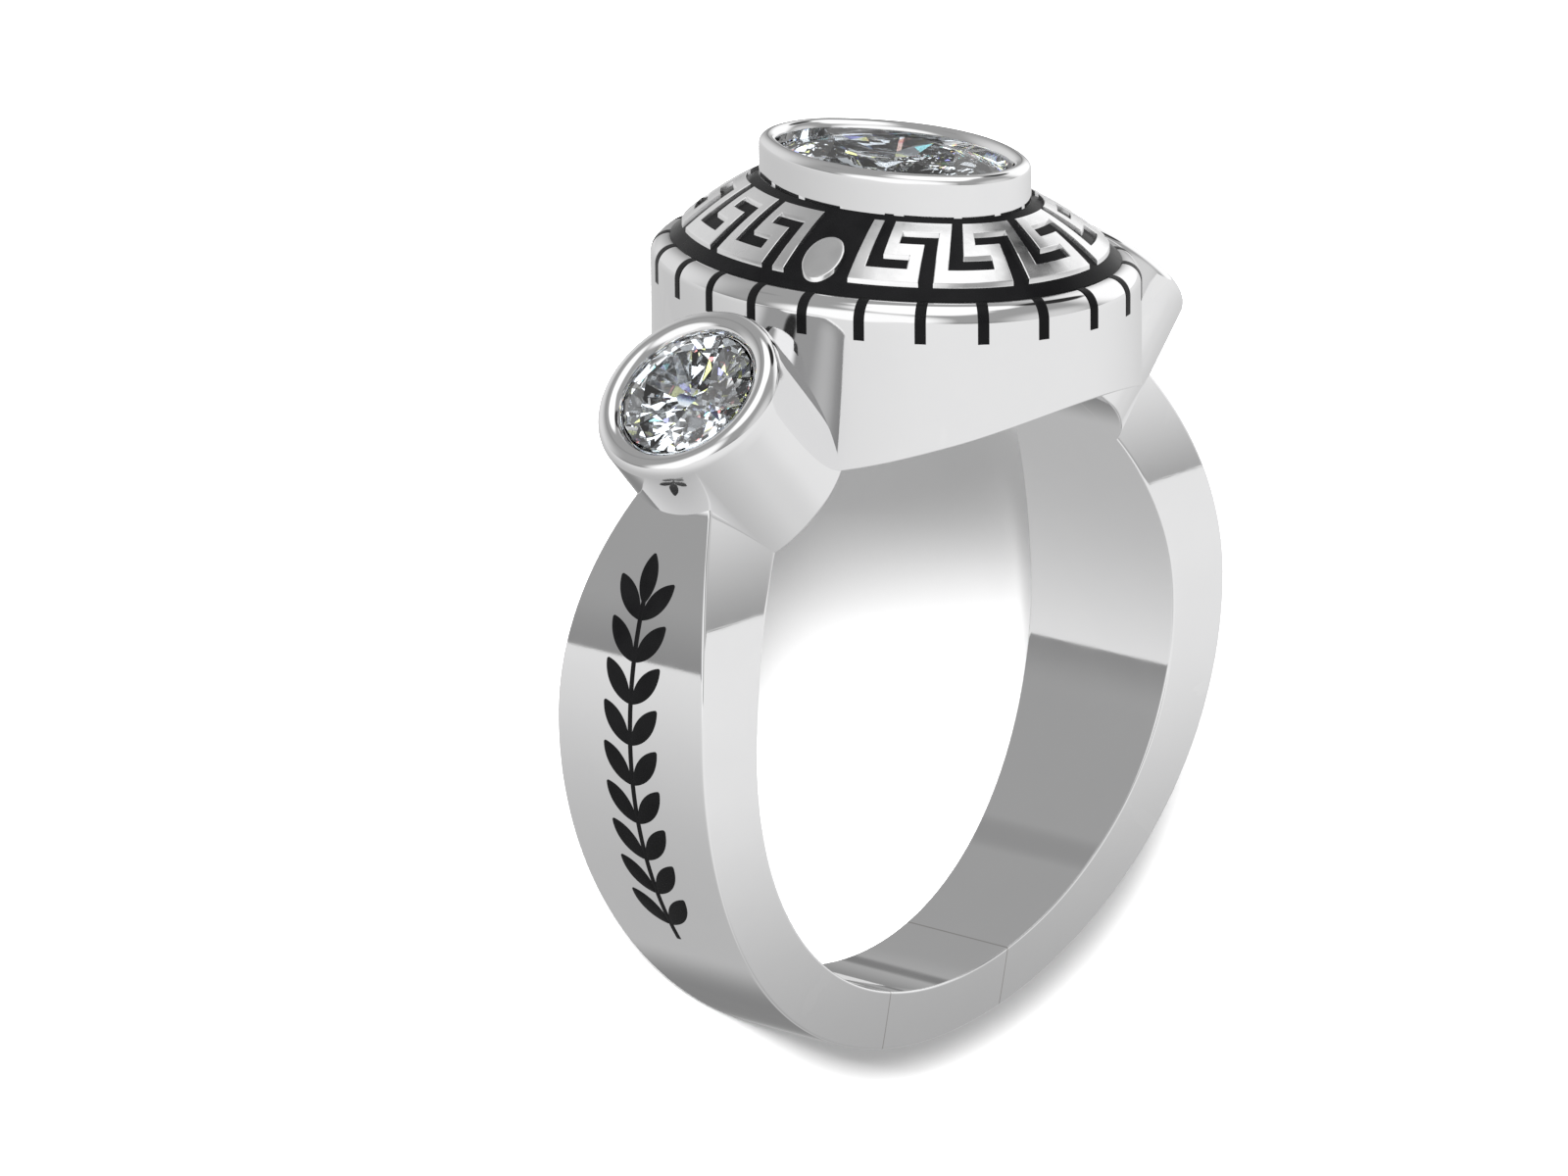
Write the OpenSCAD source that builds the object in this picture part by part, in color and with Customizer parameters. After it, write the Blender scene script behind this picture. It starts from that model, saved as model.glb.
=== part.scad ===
// Class ring with an oval head, one oval stone and two round side stones.
// It lies on its side, with the finger hole facing up and the head towards +Y.
// Every piece is drawn in the ring's own frame first: X across the shoulders,
// Y along the finger and Z from the finger hole's centre up through the head.

/* [Finger hole] */
// Inside diameter of the ring
finger_d = 17; // [16:0.1:19]

/* [Shank] */
// Thickness of the metal at the foot
foot_wall = 1.6; // [1.3:0.05:2]
// Thickness of the metal at the two sides
side_wall = 2.1; // [1.9:0.05:2.5]
// Width at the two sides, where the shank is widest
side_w = 5; // [4.5:0.1:5.4]
// Width at the foot
foot_w = 3.4; // [3:0.1:4.2]
// Width where the shank runs into the side settings
shoulder_w = 4; // [3.8:0.05:4.5]
// Height of the widest place above the hole's centre
widest_z = 0.5; // [0:0.1:1.5]
// Distance from the middle to each seam of the sizing piece at the foot
seam_x = 2.4; // [1.5:0.1:3.5]
// Width of the hairline seams
seam_w = 0.06; // [0.04:0.01:0.1]

/* [Head] */
// Length of the oval head along the finger
head_l = 13.9; // [13.3:0.1:14.6]
// Width of the oval head across the ring
head_w = 10.9; // [10.4:0.1:11.2]
// Height of the straight wall above the finger hole
wall_h = 2.35; // [2:0.05:3]
// Radius of the rounded shoulder on top of the wall
shoulder_r = 0.5; // [0.4:0.05:0.6]
// Rise of the enamelled slope from the shoulder to the bezel
slope_h = 1.6; // [1.3:0.05:1.9]
// How far the slope bulges above a straight line
slope_bulge = 0.14; // [0.05:0.01:0.2]

/* [Bezel and oval stone] */
// Distance from the head's outer wall in to the oval stone
stone_in = 3.35; // [3.2:0.05:3.5]
// Thickness of the bezel wall
bezel_wall = 0.47; // [0.4:0.01:0.55]
// Height of the bezel above the slope
bezel_h = 1.1; // [0.9:0.05:1.4]
// Height of the stone's crown above its girdle
crown_h = 0.4; // [0.35:0.05:0.6]
// Depth of the stone's table below the bezel's rim
table_sink = 0.05; // [0:0.05:0.3]

/* [Side settings] */
// Angle of each side setting from the head's axis
setting_tilt = 42; // [40:0.5:45]
// Outside diameter of the settings' tubes
setting_d = 5.2; // [5:0.05:5.5]
// Height of the tubes' rims above the finger hole
setting_h = 4.05; // [3.7:0.05:4.3]
// Diameter of the round side stones
side_stone_d = 3.7; // [3.5:0.05:3.8]
// Height of a side stone's crown
side_crown_h = 0.5; // [0.4:0.05:0.6]
// Depth of a side stone's girdle below the rim
side_sink = 0.2; // [0.15:0.05:0.35]

/* [Enamel and relief] */
// Depth of the black enamel on the slope
enamel_t = 0.25; // [0.2:0.01:0.3]
// Height of the silver relief above the enamel
relief_h = 0.12; // [0.08:0.01:0.2]
// Width of a stroke of the key pattern, and of the gaps in it
stroke = 0.34; // [0.26:0.01:0.34]
// Number of keys in each half of the pattern
keys = 6; // [4:1:6]
// Diameter of the two round bosses between the halves
boss_d = 1.1; // [0.9:0.05:1.3]
// Distance of the bosses outwards from the pattern's middle line
boss_out = 0.4; // [0:0.05:0.5]
// How far the pattern and its bosses are carried round the head
key_shift = 1; // [-1.5:0.1:1.5]
// Number of enamelled notches over the shoulder
notches = 24; // [16:4:28]
// Width of a notch
notch_w = 0.3; // [0.2:0.02:0.36]
// Depth of a notch
notch_depth = 0.16; // [0.1:0.01:0.22]
// Length of a notch down the straight wall
notch_drop = 0.55; // [0.3:0.05:0.8]
// How far the notches are carried round the head
notch_shift = -0.25; // [-0.8:0.05:0.8]

/* [Laurel on the shank] */
// Number of pairs of leaves on each side
leaf_pairs = 9; // [6:1:9]
// Length of a leaf
leaf_l = 1.4; // [1.1:0.05:1.5]
// Width of a leaf
leaf_w = 0.56; // [0.4:0.02:0.58]
// Angle between a leaf and the stem
leaf_turn = 38; // [30:1:45]
// Distance from one pair of leaves to the next
leaf_step = 1.1; // [1:0.05:1.15]
// Angle of the stem's lower end below the middle of the side
stem_low = 34; // [30:1:40]
// Width of the stem
stem_w = 0.16; // [0.12:0.01:0.2]
// Depth of the engraving
engrave = 0.2; // [0.12:0.01:0.3]

/* [Fits] */
// Gap between a stone or the enamel and the metal round it
fit_gap = 0.02; // [0.01:0.005:0.03]

/* [Hidden] */
$fn = 96;
finger_r = finger_d / 2;
// The shank's outer outline is a circle through the foot and both sides
outline_sum = (finger_r + side_wall) * (finger_r + side_wall) / (finger_r + foot_wall);
outer_r = (outline_sum + finger_r + foot_wall) / 2;
outer_z = outline_sum - outer_r;
// Each half of a side face is an arc, and the two meet where it is widest
shoulder_z = finger_r * cos(setting_tilt + asin(setting_d / 2 / finger_r));
low_side_r = arc_radius(finger_r + widest_z, (side_w - foot_w) / 2);
high_side_r = arc_radius(shoulder_z - widest_z, (side_w - shoulder_w) / 2);
foot_z = outer_z - outer_r;
foot_y = side_w / 2 - low_side_r + sqrt(pow(low_side_r, 2) - pow(foot_z - widest_z, 2));
// Every line of the head is the same oval of four arcs, drawn in or out by an offset.
// The arcs' centres and the points where they meet lie on triangles with sides of 3, 4 and 5.
oval_unit = (head_l - head_w) / 4;
end_y = 3 * oval_unit;
flank_x = 4 * oval_unit;
end_r = head_l / 2 - end_y;
flank_r = end_r + 5 * oval_unit;
flank_turn = atan(3 / 4);
stone_l = head_l - 2 * stone_in;
stone_w = head_w - 2 * stone_in;
seat_offset = fit_gap - stone_in;
bezel_offset = seat_offset + bezel_wall;
// Heights in the head
wall_top = finger_r + wall_h;
slope_low = wall_top + shoulder_r;
slope_top = slope_low + slope_h;
bezel_top = slope_top + bezel_h;
girdle_z = bezel_top - table_sink - crown_h;
pavilion_h = 0.43 * stone_w;
slope_w = -shoulder_r - bezel_offset;
// The key pattern lies on the slope's middle line
key_offset = -shoulder_r - slope_w / 2;
flank_run = (flank_r + key_offset) * flank_turn * PI / 180;
end_run = (end_r + key_offset) * (180 - 2 * flank_turn) * PI / 180;
half_run = 2 * flank_run + end_run;
key_run = (6 * keys + 1) * stroke;
// Side settings and their stones
setting_r = setting_d / 2;
setting_top = finger_r + setting_h;
side_girdle = setting_top - side_sink;
side_pavilion_h = 0.43 * side_stone_d;
girdle_t = 0.16 * crown_h;
// The stones' seats: a sloping ledge under the girdle, then a straight well for the pavilion
ledge_w = 0.53 * (end_r + seat_offset);
ledge_z = girdle_z - girdle_t - 1.5 * fit_gap;
well_offset = seat_offset - ledge_w;
well_z = ledge_z - 4 * ledge_w / stone_w * pavilion_h;
well_floor = girdle_z - girdle_t - pavilion_h - 0.3 * crown_h;
side_bore_r = side_stone_d / 2 + fit_gap;
side_ledge_z = side_girdle - girdle_t - 1.5 * fit_gap;
side_well_r = 0.65 * side_stone_d / 2;
side_well_z = side_ledge_z - 0.4 * side_pavilion_h;
side_well_floor = side_girdle - girdle_t - side_pavilion_h - 0.3 * side_crown_h;
// The rim of a side setting is as round as its wall is thick
lip_r = (setting_r - side_bore_r) / 2;
// The ring lies on the edge of its head and the edge of its foot
lean = atan((head_l / 2 - foot_y) / (finger_r - foot_z));
rest_low = -head_l / 2 * cos(lean) + finger_r * sin(lean);
back_y = -foot_y * sin(lean) + foot_z * cos(lean);
front_y = (stone_l / 2 + bezel_wall) * sin(lean) + bezel_top * cos(lean);
middle_y = (front_y - foot_y * sin(lean) + foot_z * cos(lean)) / 2;

// Radius of an arc that drops by sag over the run from its top
function arc_radius(run, sag) = (run * run + sag * sag) / (2 * sag);

// Turns the ring's own frame onto its side, with the finger hole's -Y end up
module lay_down() {
  translate([0, -middle_y, -rest_low])
    rotate([lean - 90, 0, 0])
      children();
}

// Turns a profile drawn in Y and Z into a wall along X
module along_x(length) {
  rotate([90, 0, 90])
    linear_extrude(length, center = true)
      children();
}

// Turns a profile drawn in X and Z into a wall along Y
module along_y(length) {
  rotate([90, 0, 0])
    linear_extrude(length, center = true)
      children();
}

// Outline between two arcs that bulge to both sides
module barrel(radius, half_w) {
  intersection() {
    translate([half_w - radius, widest_z])
      circle(radius, $fn = 360);
    translate([radius - half_w, widest_z])
      circle(radius, $fn = 360);
  }
}

// The shank seen from the side, as an outline in Y and Z
module shank_side(inset) {
  intersection() {
    barrel(low_side_r, side_w / 2 - inset);
    translate([-side_w, widest_z - 2 * outer_r])
      square([2 * side_w, 2 * outer_r]);
  }
  intersection() {
    barrel(high_side_r, side_w / 2 - inset);
    translate([-side_w, widest_z])
      square([2 * side_w, outer_r]);
  }
}

// The shank, from one side setting round the foot to the other
module shank(inset = 0) {
  reach = 2 * outer_r;
  intersection() {
    along_y(2 * side_w)
      difference() {
        translate([0, outer_z])
          circle(outer_r - inset, $fn = 180);
        circle(finger_r + inset, $fn = 180);
        polygon([
          [0, 0],
          [reach * sin(setting_tilt), reach * cos(setting_tilt)],
          [-reach * sin(setting_tilt), reach * cos(setting_tilt)]
        ]);
      }
    along_x(2 * reach)
      shank_side(inset);
  }
}

// The two hairline seams where the sizing piece is soldered in
module seam_grooves() {
  difference() {
    for (side = [-1, 1])
      translate([side * seam_x, 0, foot_z / 2])
        cube([seam_w, 2 * side_w, -1.5 * foot_z], center = true);
    shank(seam_w);
  }
}

// Draws its children in each of the oval's four arcs, held to that arc's sector. The arc's
// centre is on the Z axis there and its middle on the X axis. Each child is told the arc's
// radius at the head's wall, and its number, counted from the right flank.
module each_arc() {
  reach = head_l / 4;
  for (arc = [0 : 3]) {
    $arc = arc;
    $arc_r = arc % 2 == 0 ? flank_r : end_r;
    side = reach * (arc % 2 == 0 ? [4, 3] : [3, 4]);
    rotate([0, 0, 90 * arc])
      translate([arc % 2 == 0 ? -flank_x : end_y, 0, 0])
        intersection() {
          linear_extrude(1.1 * bezel_top)
            polygon([[0, 0], [side[0], -side[1]], side]);
          children();
        }
  }
}

// Carries a profile round the oval: X in the profile is the offset from the head's wall
module round_oval() {
  each_arc()
    rotate_extrude(angle = 180, start = -90)
      translate([$arc_r, 0])
        children();
}

// Points on the slope in profile, raised by lift, from one share of its width to another
function slope_line(lift, from, to) = [
  for (step = [0 : 4])
    let (share = from + (to - from) * step / 4)
    [
      -shoulder_r - share * slope_w,
      slope_low + share * slope_h + 4 * slope_bulge * share * (1 - share) + lift
    ]
];

// The slope in profile, from its surface raised by over down to the same line raised by under
module slope_profile(under, over, hold) {
  from = hold / slope_w;
  low = slope_line(under, from, 1 - from);
  high = slope_line(over, from, 1 - from);
  polygon(concat(low, [for (step = [0 : 4]) high[4 - step]]));
}

// The wall and its rounded shoulder in profile, down by depth from the outer surface
module shoulder_profile(depth) {
  intersection() {
    translate([-shoulder_r, wall_top])
      circle(shoulder_r - depth, $fn = 48);
    translate([-shoulder_r, wall_top])
      square(2 * shoulder_r);
  }
  translate([-shoulder_r, finger_r / 2])
    square([shoulder_r - depth, wall_top - finger_r / 2]);
  translate([-1.5 * shoulder_r, finger_r / 2])
    square([shoulder_r / 2, slope_low - depth - finger_r / 2]);
}

// All of the head's metal in profile, from its wall in to the well under the oval stone
module head_profile() {
  difference() {
    union() {
      shoulder_profile(0);
      polygon([
        [-shoulder_r, finger_r / 2],
        [-shoulder_r, slope_low],
        [bezel_offset, slope_low],
        [bezel_offset, bezel_top - bezel_wall / 2],
        [seat_offset, bezel_top - bezel_wall / 2],
        [seat_offset, ledge_z],
        [well_offset, well_z],
        [well_offset, finger_r / 2]
      ]);
      polygon(concat(
        slope_line(-enamel_t, 0, 1),
        [[bezel_offset, slope_low - enamel_t], [-shoulder_r, slope_low - enamel_t]]
      ));
      translate([seat_offset + bezel_wall / 2, bezel_top - bezel_wall / 2])
        circle(bezel_wall / 2, $fn = 48);
    }
    slope_profile(-enamel_t, bezel_h, 0);
  }
}

// Places a bar of the key pattern in the arc it is drawn in. The bar runs along the oval from
// run_a to run_b and across it from row_a to row_b, in strokes; ends and sides grow apart.
module key_bar(run_a, run_b, row_a, row_b, end_grow, grow) {
  key_r = $arc_r + key_offset;
  arc_half = ($arc % 2 == 0 ? flank_turn : 90 - flank_turn) + 1;
  start = (half_run - key_run) / 2 + key_shift;
  for (half = [0, 1]) {
    middle = start + (half - $arc / 2) * half_run + (run_a + run_b) / 2 * stroke;
    along = middle - 2 * half_run * round(middle / (2 * half_run));
    reach = (run_b - run_a) / 2 * stroke + end_grow;
    a = (along - reach) / key_r * 180 / PI;
    b = (along + reach) / key_r * 180 / PI;
    if (b > -arc_half && a < arc_half)
      rotate_extrude(angle = b - a, start = a)
        translate([key_r + (row_a - 2.5) * stroke - grow, wall_top])
          square([(row_b - row_a) * stroke + 2 * grow, bezel_top - wall_top]);
  }
}

// An unbroken line that folds back in every key
module key_pattern(grow) {
  for (key = [0 : keys]) {
    at = 6 * key;
    key_bar(at, at + 1, 0, 5, grow, grow);
    if (key < keys) {
      key_bar(at + 0.5, at + 4.5, 4, 5, 0, grow);
      key_bar(at + 4, at + 5, 2, 5, grow, grow);
      key_bar(at + 2.5, at + 4.5, 2, 3, 0, grow);
      key_bar(at + 2, at + 3, 0, 3, grow, grow);
      key_bar(at + 2.5, at + 6.5, 0, 1, 0, grow);
    }
  }
}

// Upright prisms with the outline of the relief in one arc: the pattern, and a round boss
// on each flank
module relief_outline(grow) {
  key_pattern(grow);
  if ($arc % 2 == 0)
    rotate([0, 0, key_shift / (flank_r + key_offset) * 180 / PI])
      translate([flank_r + key_offset + boss_out, 0, wall_top])
        cylinder(h = bezel_top - wall_top, r = boss_d / 2 + grow, $fn = 48);
}

// Places a piece at each notch, with X pointing out of the head's wall. The notches of each
// half are counted from the middle of one flank to the middle of the other, and of the two
// halves of the wall between them, the nearer one gives the arc that a notch is on.
module at_notches() {
  flank_wall = flank_r * flank_turn * PI / 180;
  end_half = end_r * (90 - flank_turn) * PI / 180;
  quarter = flank_wall + end_half;
  for (half = [0, 1], step = [0 : notches / 2 - 1]) {
    run = step * 4 * quarter / notches + notch_shift;
    from_end = run - quarter;
    on_end = abs(from_end) < end_half;
    past_end = from_end >= end_half;
    middle = on_end ? [0, end_y, 0] : [past_end ? flank_x : -flank_x, 0, 0];
    radius = on_end ? end_r : flank_r;
    turn = on_end ? 90 + from_end / end_r * 180 / PI
      : past_end ? 180 + (run - 2 * quarter) / flank_r * 180 / PI
      : run / flank_r * 180 / PI;
    rotate([0, 0, 180 * half])
      translate(middle)
        rotate([0, 0, turn])
          translate([radius, 0, 0])
            children();
  }
}

// A notch over the shoulder, from its floor raised by under up to the surface raised by over
module notch_piece(over, under, width) {
  along_y(width)
    difference() {
      intersection() {
        shoulder_profile(-over);
        translate([-shoulder_r - notch_depth, wall_top - notch_drop + under])
          square([shoulder_r + notch_depth + over, notch_drop + shoulder_r + over]);
      }
      shoulder_profile(notch_depth - under);
    }
}

// One tube of a side setting in profile, with its lip and the seat for its stone
module setting_profile() {
  polygon([
    [0, finger_r / 2],
    [setting_r, finger_r / 2],
    [setting_r, setting_top - lip_r],
    [side_bore_r, setting_top - lip_r],
    [side_bore_r, side_ledge_z],
    [side_well_r, side_well_z],
    [side_well_r, side_well_floor],
    [0, side_well_floor]
  ]);
  translate([setting_r - lip_r, setting_top - lip_r])
    circle(lip_r, $fn = 48);
}

module at_settings() {
  for (side = [-1, 1])
    rotate([0, side * setting_tilt, 0])
      children();
}

// The head's metal, with a block that fills it under the well and the relief in the recess
module head() {
  round_oval()
    head_profile();
  block = 2 * (well_offset + 2 * shoulder_r);
  translate([0, 0, 0.56 * finger_r])
    linear_extrude(well_floor - 0.56 * finger_r)
      square([head_w + block, head_l + block], center = true);
  each_arc()
    intersection() {
      rotate_extrude(angle = 180, start = -90)
        translate([$arc_r, 0])
          slope_profile(-1.4 * enamel_t, relief_h, fit_gap);
      relief_outline(0);
    }
}

// Engraved leaf: two arcs that meet in points, along the profile's Y
module leaf(shrink) {
  half = leaf_w / 2 - shrink;
  bend = arc_radius(leaf_l / 2, leaf_w / 2);
  intersection() {
    translate([half - (bend - shrink), 0])
      circle(bend - shrink);
    translate([(bend - shrink) - half, 0])
      circle(bend - shrink);
  }
}

// One side's laurel sprig, between depth below the shank's outer surface and that surface
module laurel(depth, shrink, over) {
  stem_turn = (leaf_pairs * leaf_step) / outer_r * 180 / PI;
  pair_turn = leaf_step / outer_r * 180 / PI;
  spread = leaf_l / 2 * sin(leaf_turn) + stem_w / 4;
  ahead = leaf_l / 2 * cos(leaf_turn) / outer_r * 180 / PI;
  translate([0, 0, outer_z])
    intersection() {
      along_y(side_w)
        difference() {
          circle(outer_r + over, $fn = 180);
          circle(outer_r - depth, $fn = 180);
        }
      union() {
        along_y(stem_w - 2 * shrink)
          polygon([
            [0, 0],
            [2 * outer_r * cos(stem_low - 0.1), -2 * outer_r * sin(stem_low - 0.1)],
            [2 * outer_r, -outer_r / 2],
            [2 * outer_r * cos(stem_turn - stem_low), 2 * outer_r * sin(stem_turn - stem_low)]
          ]);
        for (pair = [0 : leaf_pairs - 1], side = [-1, 1])
          rotate([0, stem_low - pair * pair_turn - pair_turn / 2 - ahead, 0])
            translate([outer_r, side * spread, 0])
              rotate([-side * leaf_turn, 0, 0])
                along_x(2 * leaf_l)
                  leaf(shrink);
        rotate([0, stem_low - stem_turn - ahead, 0])
          translate([outer_r, 0, 0])
            along_x(2 * leaf_l)
              leaf(shrink);
      }
    }
}

// The one casting: shank, head and both side settings
module ring_body() {
  color([0.82, 0.82, 0.83])
    lay_down()
      difference() {
        union() {
          difference() {
            union() {
              shank();
              head();
            }
            at_settings()
              translate([0, 0, side_well_floor - lip_r / 2])
                cylinder(h = setting_top, r = setting_r - lip_r);
          }
          at_settings()
            rotate_extrude()
              setting_profile();
        }
        along_y(2 * head_l)
          circle(finger_r, $fn = 180);
        at_notches()
          notch_piece(shoulder_r, 0, notch_w);
        seam_grooves();
        laurel(engrave, 0, engrave);
        mirror([1, 0, 0])
          laurel(engrave, 0, engrave);
      }
}

// A stone's outline at an angle: four arcs like the head's, or a circle if it is as long as wide
function outline_point(turn, half_x, half_y) =
  let (
    unit = (half_y - half_x) / 2,
    small_r = half_y - 3 * unit,
    large_r = small_r + 5 * unit,
    aim = [half_x * cos(turn), half_y * sin(turn)],
    way = aim / norm(aim),
    flank_c = 4 * unit,
    to_flank = sqrt(pow(flank_c * way[0], 2) + pow(large_r, 2) - pow(flank_c, 2)) - flank_c * abs(way[0]),
    to_end = 3 * unit * abs(way[1]) + sqrt(max(0, pow(small_r, 2) - pow(3 * unit * way[0], 2))),
    on_end = to_flank * abs(way[1]) > 3 * unit + to_flank * abs(way[0]) * 3 / 4
  )
  way * (on_end ? to_end : to_flank);

// Brilliant cut with its girdle's top at height 0. Rows of points: table, star points,
// girdle top, girdle bottom, pavilion points, and the culet on its own.
module brilliant(half_x, half_y, crown, pavilion) {
  table = 0.56;
  star = 0.79;
  low = 0.24;
  star_z = crown * (1 - star * cos(22.5)) / (1 - table);
  low_z = -girdle_t - pavilion * (1 - low * cos(22.5));
  function ring_of(count, turn, share, z) = [
    for (i = [0 : count - 1])
      let (edge = share * outline_point(turn + i * 360 / count, half_x, half_y))
      [edge[0], edge[1], z]
  ];
  points = concat(
    ring_of(8, 0, table, crown),
    ring_of(8, 22.5, star, star_z),
    ring_of(16, 0, 1, 0),
    ring_of(16, 0, 1, -girdle_t),
    ring_of(8, 22.5, low, low_z),
    [[0, 0, -girdle_t - pavilion]]
  );
  faces = concat(
    [[7, 6, 5, 4, 3, 2, 1, 0]],
    [for (i = [0 : 7]) [i, (i + 1) % 8, 8 + i]],
    [for (i = [0 : 7]) [i, 8 + i, 16 + 2 * i, 8 + (i + 7) % 8]],
    [for (i = [0 : 7]) [8 + i, 17 + 2 * i, 16 + 2 * i]],
    [for (i = [0 : 7]) [8 + i, 16 + (2 * i + 2) % 16, 17 + 2 * i]],
    [for (i = [0 : 15]) [16 + i, 16 + (i + 1) % 16, 32 + (i + 1) % 16, 32 + i]],
    [for (i = [0 : 7]) [48 + i, 32 + 2 * i, 33 + 2 * i]],
    [for (i = [0 : 7]) [48 + i, 33 + 2 * i, 32 + (2 * i + 2) % 16]],
    [for (i = [0 : 7]) [56, 48 + (i + 7) % 8, 32 + 2 * i, 48 + i]]
  );
  polyhedron(points, faces);
}

module oval_stone() {
  color([0.85, 0.9, 0.95])
    lay_down()
      translate([0, 0, girdle_z])
        brilliant(stone_w / 2, stone_l / 2, crown_h, pavilion_h);
}

module side_stone(side) {
  color([0.85, 0.9, 0.95])
    lay_down()
      rotate([0, side * setting_tilt, 0])
        translate([0, 0, side_girdle])
          brilliant(side_stone_d / 2, side_stone_d / 2, side_crown_h, side_pavilion_h);
}

module side_stone_left() {
  side_stone(-1);
}

module side_stone_right() {
  side_stone(1);
}

// Black enamel: the whole slope and, joined to it, the fillings of the notches
module head_enamel() {
  color([0.04, 0.04, 0.045])
    lay_down() {
      each_arc()
        difference() {
          rotate_extrude(angle = 180, start = -90)
            translate([$arc_r, 0])
              slope_profile(fit_gap - enamel_t, 0, fit_gap);
          relief_outline(fit_gap);
        }
      at_notches()
        notch_piece(0, fit_gap, notch_w - 2 * fit_gap);
    }
}

module laurel_enamel_left() {
  color([0.04, 0.04, 0.045])
    lay_down()
      mirror([1, 0, 0])
        laurel(engrave - fit_gap, fit_gap, 0);
}

module laurel_enamel_right() {
  color([0.04, 0.04, 0.045])
    lay_down()
      laurel(engrave - fit_gap, fit_gap, 0);
}

ring_body();
oval_stone();
side_stone_left();
side_stone_right();
head_enamel();
laurel_enamel_left();
laurel_enamel_right();
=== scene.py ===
import math

import bmesh
import bpy
import numpy as np
from mathutils import Matrix


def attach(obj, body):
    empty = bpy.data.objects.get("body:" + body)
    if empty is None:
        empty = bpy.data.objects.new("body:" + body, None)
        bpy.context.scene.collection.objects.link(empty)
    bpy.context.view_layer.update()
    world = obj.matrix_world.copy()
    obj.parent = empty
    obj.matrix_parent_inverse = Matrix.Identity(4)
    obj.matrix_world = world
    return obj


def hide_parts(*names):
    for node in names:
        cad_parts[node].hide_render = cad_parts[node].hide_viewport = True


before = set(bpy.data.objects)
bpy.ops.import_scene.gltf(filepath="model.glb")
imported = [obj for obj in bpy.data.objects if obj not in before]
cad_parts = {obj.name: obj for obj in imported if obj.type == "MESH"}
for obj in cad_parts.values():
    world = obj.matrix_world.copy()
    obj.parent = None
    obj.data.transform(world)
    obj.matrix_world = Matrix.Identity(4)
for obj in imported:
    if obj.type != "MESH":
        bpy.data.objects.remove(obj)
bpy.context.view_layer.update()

# Sizes in millimetres in the ring's own frame, as in the part's source: X across the
# shoulders, Y along the finger, Z from the finger hole's centre up through the head
FINGER_R = 8.5
FOOT_WALL, SIDE_WALL = 1.6, 2.1
SIDE_W, FOOT_W, SHOULDER_W, WIDEST_Z = 5.0, 3.4, 4.0, 0.5
SEAM_X = 2.4
HEAD_L, HEAD_W = 13.9, 10.9
WALL_TOP = FINGER_R + 2.35
SHOULDER_R = 0.5
SLOPE_H, SLOPE_BULGE = 1.6, 0.14
STONE_IN = 3.35
BEZEL_WALL, BEZEL_H = 0.47, 1.1
CROWN_H, TABLE_SINK = 0.4, 0.05
TILT = math.radians(42)
SETTING_R, SETTING_TOP = 2.6, FINGER_R + 4.05
SIDE_STONE_R, SIDE_CROWN_H, SIDE_SINK = 1.85, 0.5, 0.2
ENAMEL_T, RELIEF_H = 0.25, 0.12
STROKE, KEYS, KEY_SHIFT, BOSS_D, BOSS_OUT = 0.34, 6, 1.0, 1.1, 0.4
NOTCHES, NOTCH_W, NOTCH_DROP, NOTCH_SHIFT = 24, 0.3, 0.55, -0.25
LEAF_PAIRS, LEAF_L, LEAF_W, LEAF_STEP = 9, 1.4, 0.56, 1.1
LEAF_TURN, STEM_LOW, STEM_W = math.radians(38), math.radians(34), 0.16
GAP = 0.02

# Sizes of the visible surfaces alone: the softened lower edges of the head and settings with the
# band over them, how far their undersides clear the finger hole, and the depths under the stones
# as shares of the stone's width, the pavilion and the crown
UNDER_SOFT, UNDER_BAND = 0.035, 0.03
HEAD_CLEAR, SETTING_CLEAR = 0.002, 0.001
PAVILION, SIDE_WELL, SIDE_WELL_DEPTH, WELL_SPARE = 0.43, 0.65, 0.4, 0.3


def arc_radius(run, sag):
    """Radius of an arc that drops by sag over the run from its top."""
    return (run * run + sag * sag) / (2 * sag)


OUTLINE_SUM = (FINGER_R + SIDE_WALL) ** 2 / (FINGER_R + FOOT_WALL)
OUTER_R = (OUTLINE_SUM + FINGER_R + FOOT_WALL) / 2
OUTER_Z = OUTLINE_SUM - OUTER_R
SHOULDER_Z = FINGER_R * math.cos(TILT + math.asin(SETTING_R / FINGER_R))
LOW_SIDE_R = arc_radius(FINGER_R + WIDEST_Z, (SIDE_W - FOOT_W) / 2)
HIGH_SIDE_R = arc_radius(SHOULDER_Z - WIDEST_Z, (SIDE_W - SHOULDER_W) / 2)
OVAL_UNIT = (HEAD_L - HEAD_W) / 4
END_Y, FLANK_X = 3 * OVAL_UNIT, 4 * OVAL_UNIT
END_R = HEAD_L / 2 - END_Y
FLANK_R = END_R + 5 * OVAL_UNIT
FLANK_TURN = math.atan(0.75)
STONE_L, STONE_W = HEAD_L - 2 * STONE_IN, HEAD_W - 2 * STONE_IN
SEAT_OFFSET = GAP - STONE_IN
BEZEL_OFFSET = SEAT_OFFSET + BEZEL_WALL
SLOPE_LOW = WALL_TOP + SHOULDER_R
SLOPE_TOP = SLOPE_LOW + SLOPE_H
BEZEL_TOP = SLOPE_TOP + BEZEL_H
GIRDLE_Z = BEZEL_TOP - TABLE_SINK - CROWN_H
LEDGE_W = 0.53 * (END_R + SEAT_OFFSET)
SLOPE_W = -SHOULDER_R - BEZEL_OFFSET
KEY_OFFSET = -SHOULDER_R - SLOPE_W / 2
SIDE_GIRDLE = SETTING_TOP - SIDE_SINK
LIP_R = (SETTING_R - SIDE_STONE_R - GAP) / 2
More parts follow.
